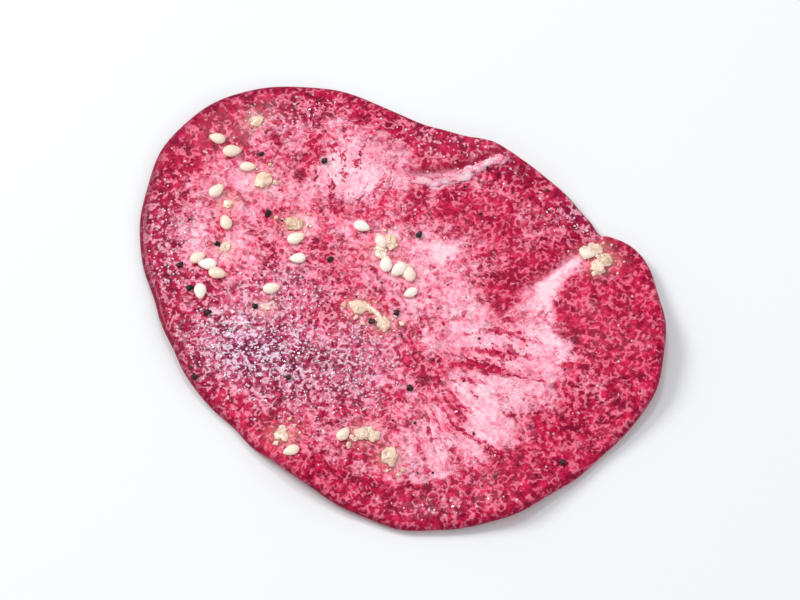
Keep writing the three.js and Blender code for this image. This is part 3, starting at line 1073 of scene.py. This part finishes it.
# Nothing lies further out than this share of the way to the edge.
SAFE_SHARE = 0.94
crumbs = []
for flake in places["flake"]:
    for k in range(CRUMBS_ROUND):
        spot = spiral(flake[:2], (CRUMB_REACH, CRUMB_REACH), draw() * 360, k, CRUMBS_ROUND)
        size = CRUMB_SIZES[0] + (CRUMB_SIZES[1] - CRUMB_SIZES[0]) * draw() ** 2
        if share_out(*spot) < SAFE_SHARE:
            crumbs.append((*spot, draw() * 360, size))
places["crumb"] = crumbs
print(len(crumbs), "crumbs of garlic")

# %% More garlic, and the clouds round it
# Chips between the clusters' pieces, which fill them up to heaps: place, turn and size.
FILLING = [
    ((34.2, 8.7), 20, 1.15),
    ((35.7, 5.6), 100, 1.0),
    ((-5.2, -27.2), 150, 1.1),
    ((-3.4, 8.9), 120, 0.9),
    ((1.4, 5.3), 60, 0.85),
    ((-26.5, 36.8), 30, 0.8),
    ((-31.5, 10.2), 80, 0.7),
    ((-24, -1.8), 0, 0.6),
    ((-31, 19.4), 40, 0.65),
]
# Garlic clouds the meat that it lies on: how far, and how much.
CLOUD_REACH = (2.4, 2)
CLOUDING = 0.4

places["flake"] += [(*spot, turn, size) for spot, turn, size in FILLING]
clouded = [("garlic", flake[:2], CLOUD_REACH, 0, CLOUDING) for flake in places["flake"]]
paint(slice_piece.data, "seasoned", strongest(clouded) * upper)
print("in all:", {kind: len(spots) for kind, spots in places.items()})

# %% [markdown]
# ## How a topping is laid on the face
#
# Every kind of topping is laid in the same way. NumPy makes a mesh of bare points on the face, and
# paints a turn, a size and the upward direction on each. A tree then puts a copy of one shape on
# every point, turns it as painted, and gives it a random tint of its own for the material.

# %% Beds for the toppings
# How far to each side the slope of the face is measured.
SLOPE_REACH = 0.4


def upward(x, y):
    """The direction that points straight out of the top face."""
    slope_x = (faces(x + SLOPE_REACH, y)[1] - faces(x - SLOPE_REACH, y)[1]) / (2 * SLOPE_REACH)
    slope_y = (faces(x, y + SLOPE_REACH)[1] - faces(x, y - SLOPE_REACH)[1]) / (2 * SLOPE_REACH)
    up = np.stack([-slope_x, -slope_y, np.ones_like(x)], axis=1)
    return up / np.linalg.norm(up, axis=1, keepdims=True)


def bed(kind, sizes):
    """A mesh of bare points for one kind of topping, each with its turn, size and upward direction."""
    px, py, yaw, size = np.array(places[kind]).T
    up = upward(px, py)
    raised = sizes["height"] / 2 * size - sizes["sunk"]
    spots = np.stack([px, py, faces(px, py)[1]], axis=1) + up * raised[:, None]
    mesh = mesh_of(kind + " places", spots)
    paint(mesh, "yaw", np.radians(yaw))
    paint(mesh, "size", size)
    paint(mesh, "up", up, "FLOAT_VECTOR")
    return mesh


def in_metres(sizes):
    """The length, width and height of a topping as inputs of a tree."""
    return {key.capitalize(): sizes[key] * MM for key in ("length", "width", "height")}


# %% Helpers that lay one shape on every point


def stored(geometry, name, value, domain="POINT"):
    """Keeps a value under a name on a geometry."""
    inputs = {"Geometry": geometry, "Name": name, "Value": value}
    kind = "GeometryNodeStoreNamedAttribute"
    return step(geometry.id_data, kind, inputs, data_type="FLOAT", domain=domain)


def copied(spots, shape, turned, size, seed):
    """Lays one copy of a shape on each point, and gives each copy its own random tint from 0 to 1."""
    tree = spots.id_data
    inputs = {"Points": spots, "Instance": shape, "Rotation": turned, "Scale": size}
    copies = step(tree, "GeometryNodeInstanceOnPoints", inputs)
    tint = step(tree, "FunctionNodeRandomValue", {"Seed": seed}, out=1, data_type="FLOAT")
    copies = stored(copies, "tint", tint, "INSTANCE")
    return step(tree, "GeometryNodeRealizeInstances", {"Geometry": copies})


def laid(spots, shape, seed):
    """Copies of a shape, turned and sized as painted on the points."""
    tree = spots.id_data
    yaw = step(tree, "ShaderNodeCombineXYZ", {"Z": named(tree, "yaw")})
    turned = step(tree, "FunctionNodeEulerToRotation", {"Euler": yaw})
    inputs = {"Rotation": turned, "Vector": named(tree, "up", "FLOAT_VECTOR")}
    turned = step(tree, "FunctionNodeAlignRotationToVector", inputs, axis="Z")
    return copied(spots, shape, turned, named(tree, "size"), seed)


# %% Helpers for the toppings' materials


def mottled(where, tint_share, grain_share, size, contrast, layer):
    """A value that differs from copy to copy by the tint, and within a copy by grain."""
    tint = times(painted(where.id_data, "tint"), tint_share)
    return times_plus(grain(where, size, contrast, layer), grain_share, tint)


def moistened(shader, where, size, wettest, driest, strength, depth):
    """Wires a wet film into a shader's roughness and bumps, and gives how wet it is."""
    film = wet_film(where, size, wettest, driest)
    feed(shader.inputs["Roughness"], film["Roughness"])
    bumpy(shader, film["Height"], strength, depth)
    return film["Film"]


# %% [markdown]
# ## Sesame seeds
#
# A hulled sesame seed is a flattened drop, cream white, with a point at one end. The tree makes
# one drop from a sphere, narrowing it towards the point, and lays a copy on each place. Every
# copy gets a random tint, which the material turns from ivory to a light tan.

# %% Sesame material
SESAME = [(0.0, (255, 247, 240)), (0.5, (255, 236, 222)), (1.0, (244, 212, 186))]
SEED_POINT = srgb(206, 158, 112)

hull, tree, where, shader = material_of(
    "sesame hull",
    IOR=1.45,
    Subsurface_Weight=0.3,
    Subsurface_Scale=0.0006,
    Subsurface_Radius=(1.0, 0.8, 0.6),
    Coat_Roughness=0.2,
)
colour = coloured(mottled(where, 0.7, 0.35, 0.7, 1.6, 2.2), SESAME)
colour = blended(remapped(painted(tree, "tip"), 0.76, 1.0, 0.0, 0.55), colour, SEED_POINT)
feed(shader.inputs["Base Color"], colour)
film = moistened(shader, where, 0.4, 0.22, 0.42, 0.25, 0.1)
feed(shader.inputs["Coat Weight"], times(film, 0.5))

# %% Sesame seeds
sizes = {"Length": 0.0032, "Width": 0.002, "Height": 0.001, "Taper": 0.38, "Seed": 0}
seed_tree, given, result = shape_tree("sesame seeds", sizes)
ball = step(seed_tree, "GeometryNodeMeshUVSphere", {"Segments": 20, "Rings": 14, "Radius": 0.5})
ball = step(seed_tree, "GeometryNodeTransform", {"Geometry": ball, "Rotation": (0, math.pi / 2, 0)})
corner = seed_tree.nodes.new("ShaderNodeSeparateXYZ")
feed(corner.inputs[0], step(seed_tree, "GeometryNodeInputPosition"))
towards_point = remapped(corner.outputs["X"], -0.2, 0.5)
kept_width = minus(1.0, times(towards_point, given["Taper"]))
sides = {
    "X": times(corner.outputs["X"], given["Length"]),
    "Y": times(times(corner.outputs["Y"], kept_width), given["Width"]),
    "Z": times(times(corner.outputs["Z"], kept_width), given["Height"]),
}
moved = step(seed_tree, "ShaderNodeCombineXYZ", sides)
drop = stored(ball, "tip", maths("ADD", corner.outputs["X"], 0.5))
drop = step(seed_tree, "GeometryNodeSetPosition", {"Geometry": drop, "Position": moved})
finished(result, laid(given["Geometry"], drop, given["Seed"]), given["Material"])

seed_values = {"Taper": SEED["taper"], "Seed": 3, "Material": hull, **in_metres(SEED)}
seeds = grown("sesame_seeds", bed("seed", SEED), seed_tree, seed_values)

# %% [markdown]
# ## Garlic
#
# The garlic is chopped, so each flake is a ragged, half clear chip the colour of pale straw, with
# crumbs of it scattered round. The tree flattens a ball, lays it on each place, and only then
# moves every point by noise. The noise is read at the point's own place on the slice, so no two
# pieces are alike. Crumbs come from the same tree, smaller and with fewer faces.

# %% Garlic material
GARLIC = [(0.0, (255, 232, 216)), (0.5, (246, 212, 188)), (1.0, (218, 176, 144))]

garlic_flesh, tree, where, shader = material_of(
    "chopped garlic",
    IOR=1.42,
    Subsurface_Weight=0.15,
    Subsurface_Scale=0.0005,
    Subsurface_Radius=(1.0, 0.7, 0.5),
    Coat_Roughness=0.12,
)
feed(shader.inputs["Base Color"], coloured(mottled(where, 0.6, 0.5, 0.8, 2.4, 4.4), GARLIC))
film = moistened(shader, where, 0.5, 0.14, 0.4, 0.3, 0.2)
feed(shader.inputs["Coat Weight"], times_plus(film, 0.4, 0.4))

# %% The tree of ragged chips
sizes = {"Length": 0.0032, "Width": 0.0025, "Height": 0.0007, "Fineness": 4}
sizes.update({"Raggedness": 0.0005, "Lump Size": 0.0012, "Seed": 0})
chip_tree, given, result = shape_tree("ragged chips", sizes)
chip = step(chip_tree, "GeometryNodeMeshIcoSphere", {"Radius": 0.5, "Subdivisions": given["Fineness"]})
sides = {"X": given["Length"], "Y": given["Width"], "Z": given["Height"]}
sides = step(chip_tree, "ShaderNodeCombineXYZ", sides)
chip = step(chip_tree, "GeometryNodeTransform", {"Geometry": chip, "Scale": sides})
chips = laid(given["Geometry"], chip, given["Seed"])
per_metre = maths("DIVIDE", 1.0, given["Lump Size"])
push = pushes(chip_tree, given["Raggedness"], Scale=per_metre, Detail=2.0, Roughness=0.55)
push = vectors("MULTIPLY", push, (1.0, 1.0, 0.5))
chips = step(chip_tree, "GeometryNodeSetPosition", {"Geometry": chips, "Offset": push})
finished(result, chips, given["Material"])


def chopped(name, kind, sizes, material, fineness, raggedness, lumps, seed):
    """All chips of one kind as one piece. Raggedness and lumps are in millimetres."""
    values = {"Fineness": fineness, "Raggedness": raggedness * MM, "Lump Size": lumps * MM, "Seed": seed}
    values.update(in_metres(sizes), Material=material)
    return grown(name, bed(kind, sizes), chip_tree, values)


# %% Garlic flakes and crumbs
CRUMB = {"length": 1.3, "width": 1.0, "height": 0.55, "sunk": 0.06}
flakes = chopped("garlic_flakes", "flake", FLAKE, garlic_flesh, 4, 2.2, 1.3, 5)
crumb_piece = chopped("garlic_crumbs", "crumb", CRUMB, garlic_flesh, 3, 0.9, 0.7, 6)

# %% [markdown]
# ## Cracked pepper
#
# A cracked peppercorn falls into chips: near black where its skin shows, brown inside. The same
# tree of ragged chips makes them, with fewer faces.

# %% Pepper
PEPPER = [(0.0, (12, 6, 8)), (0.6, (32, 18, 18)), (1.0, (90, 64, 48))]
pepper_skin, tree, where, shader = material_of("cracked pepper", IOR=1.45)
feed(shader.inputs["Base Color"], coloured(mottled(where, 0.5, 0.5, 0.5, 2.4, 6.6), PEPPER))
moistened(shader, where, 0.4, 0.35, 0.7, 0.7, 0.1)

grains = chopped("pepper_grains", "grain", GRAIN, pepper_skin, 3, 1.2, 0.6, 7)

# %% [markdown]
# ## Salt and pepper dust
#
# Finer than the chips are specks: pepper dust here and there, and salt crystals, which lie
# thickest where they have drawn juice out. Nobody could place these one by one, so a tree
# scatters points over the face itself, as densely as a painted value says, and lays a tiny
# stone with a few faces on each.

# %% Salt material
SALT = [(0.0, (236, 190, 216)), (1.0, (255, 246, 252))]
salt_crystal, tree, where, shader = material_of(
    "salt crystal",
    IOR=1.54,
    Roughness=0.12,
    Subsurface_Weight=0.5,
    Subsurface_Scale=0.0004,
    Subsurface_Radius=(1.0, 0.9, 0.95),
)
feed(shader.inputs["Base Color"], coloured(mottled(where, 0.7, 0.3, 0.4, 2.0, 8.8), SALT))

# %% Specks scattered on the face
sizes = {"Density": 1e6, "Evenness": 0.1, "Smallest": 0.0002, "Largest": 0.0004, "Seed": 0}
speck_tree, given, result = shape_tree("scattered specks", sizes)
share_here = maths("MAXIMUM", named(speck_tree, "wet"), given["Evenness"])
share_here = times(share_here, named(speck_tree, "top"))
inputs = {"Mesh": given["Geometry"], "Density": times(given["Density"], share_here), "Seed": given["Seed"]}
spots = step(speck_tree, "GeometryNodeDistributePointsOnFaces", inputs)
stone = step(speck_tree, "GeometryNodeMeshCube", {"Size": (1.0, 1.0, 0.7)})


def drawn_vector(low, high, seed):
    """Three random numbers for each point."""
    inputs = {"Min": low, "Max": high, "Seed": seed}
    return step(speck_tree, "FunctionNodeRandomValue", inputs, data_type="FLOAT_VECTOR")


tumbled = drawn_vector((0.0, 0.0, 0.0), (math.tau, math.tau, math.tau), given["Seed"])
limits = [listed("ShaderNodeCombineXYZ", [given[key]] * 3) for key in ("Smallest", "Largest")]
size = drawn_vector(*limits, maths("ADD", given["Seed"], 1))
finished(result, copied(spots, stone, tumbled, size, given["Seed"]), given["Material"], smooth=False)

# %% Salt crystals and pepper dust


def strewn(name, material, density, evenness, smallest, largest, seed):
    """Specks all over the face as one piece: how many to the square metre, and sizes in millimetres."""
    values = {"Density": density, "Evenness": evenness, "Seed": seed, "Material": material}
    values.update(Smallest=smallest * MM, Largest=largest * MM)
    return grown(name, slice_piece.data.copy(), speck_tree, values)


salt = strewn("salt_crystals", salt_crystal, 1.9e6, 0.012, 0.14, 0.46, 21)
dust = strewn("pepper_dust", pepper_skin, 0.016e6, 0.6, 0.2, 0.5, 34)

# %% [markdown]
# ## Strands
#
# Two things on the slice are strands: the ragged seam of fat near the top, and one long curved
# sliver of garlic. A strand is a line that lies on the face. The tree turns each line into a
# curve, gives it a round section as thick as painted, crumples it by noise, and flattens it
# towards the face. A few strands that wander beside each other make a frayed seam.

# %% The strand tree
sizes = {"Sides": 12, "Flatness": 1.0, "Raggedness": 0.0005, "Lump Size": 0.001}
strand_tree, given, result = shape_tree("strands", sizes)
lines = step(strand_tree, "GeometryNodeMeshToCurve", {"Mesh": given["Geometry"]})
section = {"Resolution": given["Sides"], "Radius": 1.0}
section = step(strand_tree, "GeometryNodeCurvePrimitiveCircle", section)
inputs = {"Curve": lines, "Profile Curve": section, "Scale": named(strand_tree, "girth"), "Fill Caps": True}
strands = step(strand_tree, "GeometryNodeCurveToMesh", inputs)
per_metre = maths("DIVIDE", 1.0, given["Lump Size"])
push = pushes(strand_tree, given["Raggedness"], Scale=per_metre, Detail=2.0, Roughness=0.6)
strands = step(strand_tree, "GeometryNodeSetPosition", {"Geometry": strands, "Offset": push})
above = step(strand_tree, "ShaderNodeSeparateXYZ", {0: step(strand_tree, "GeometryNodeInputPosition")}, "Z")
above = minus(above, named(strand_tree, "level"))
sink = times(above, minus(given["Flatness"], 1.0))
sink = step(strand_tree, "ShaderNodeCombineXYZ", {"Z": sink})
strands = step(strand_tree, "GeometryNodeSetPosition", {"Geometry": strands, "Offset": sink})
finished(result, strands, given["Material"])

# %% Lines for the strands
STRAND_STEP = 0.22
# Lengths over which a strand wanders and swells.
WANDER_LENGTH = 2.6
SWELL_LENGTH = 1.4


def strand_lines(name, strands, rise):
    """A mesh of lines on the face: for each a bowed line, a half thickness, a wander and a number."""
    spots, links, girths = [], [], []
    for ((x0, y0), (x1, y1), bow), girth, wander, number in strands:
        length = math.hypot(x1 - x0, y1 - y0)
        count = round(length / STRAND_STEP)
        t = np.linspace(0, 1, count)
        row = np.full(count, number)
        aside = 4 * bow * t * (1 - t) + wander * wandering(t * length, row * 7.3, WANDER_LENGTH, 61)
        px = x0 + (x1 - x0) * t - (y1 - y0) / length * aside
        py = y0 + (y1 - y0) * t + (x1 - x0) / length * aside
        thick = girth * (0.7 + 0.6 * value_noise(t * length, row * 3.1, SWELL_LENGTH, 67))
        thick = thick * np.sqrt(np.clip(4 * t * (1 - t), 0.02, 1))
        first = len(spots)
        level = faces(px, py)[1] + thick * rise
        spots += np.stack([px, py, level], axis=1).tolist()
        links += [(first + k, first + k + 1) for k in range(count - 1)]
        girths += (thick * MM).tolist()
    mesh = mesh_of(name, spots, links)
    paint(mesh, "girth", girths)
    paint(mesh, "level", np.array(spots)[:, 2] * MM)
    return mesh


# %% The material of the seam
SEAM_FAT = [(0.0, (214, 70, 104)), (0.35, (246, 150, 172)), (1.0, (255, 206, 214))]

fat_strand, tree, where, shader = material_of(
    "strand of fat",
    IOR=1.42,
    Subsurface_Weight=0.3,
    Subsurface_Scale=0.0008,
    Subsurface_Radius=(1.0, 0.5, 0.45),
    Coat_Roughness=0.15,
)
feed(shader.inputs["Base Color"], coloured(grain(where, 1.2, 3.0, 5.5), SEAM_FAT))
film = moistened(shader, where, 0.5, 0.15, 0.4, 0.5, 0.2)
feed(shader.inputs["Coat Weight"], times(film, 0.6))

# %% The seam of fat and the sliver of garlic
# Each strand: start, end and bow, then half its thickness, its wander and a number for its noise.
SEAM_STRANDS = [
    (((1.2, 24.6), (10.5, 24.6), -0.5), 0.85, 0.5, 1),
    (((7.0, 23.9), (14.2, 26.4), -0.4), 1.0, 0.6, 2),
    (((11.5, 25.6), (18.8, 27.6), 0.3), 0.95, 0.7, 3),
    (((4.4, 23.4), (12.6, 25.2), -0.9), 0.5, 1.3, 4),
    (((10.2, 26.4), (17.0, 26.8), -0.5), 0.5, 1.3, 5),
    (((17.2, 27.4), (19.9, 27.8), 0.2), 1.1, 0.2, 9),
]
seam_values = {"Sides": 12, "Flatness": 0.3, "Raggedness": 0.8 * MM, "Lump Size": 0.8 * MM}
seam_values["Material"] = fat_strand
seam_lines = strand_lines("seam lines", SEAM_STRANDS, -0.2)
seam_piece = grown("fat_strands", seam_lines, strand_tree, seam_values)

SLIVER = [(((-6.9, -1.7), (-2.8, -7.0), 1.3), 0.42, 0.15, 8)]
sliver_values = {"Sides": 12, "Raggedness": 0.4 * MM, "Lump Size": 1.0 * MM, "Material": garlic_flesh}
sliver = grown("garlic_sliver", strand_lines("sliver line", SLIVER, 0.25), strand_tree, sliver_values)

# %% [markdown]
# ## What rides on what, and what it stands for
#
# All of it is one thing that moves together, so every piece rides on the one body. The slice and
# its toppings together stand for the plain solid, which isn't shown.

# %% Rides
PIECES = [
    (slice_piece, "tongue_flesh"),
    (seam_piece, "tongue_flesh"),
    (seeds, "sesame_seed"),
    (flakes, "garlic_flake"),
    (crumb_piece, "garlic_flake"),
    (sliver, "garlic_flake"),
    (grains, "cracked_pepper"),
    (dust, "cracked_pepper"),
    (salt, "tongue_flesh"),
]
for piece, finish in PIECES:
    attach(piece, "root")
    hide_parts(SLICE_NODE)
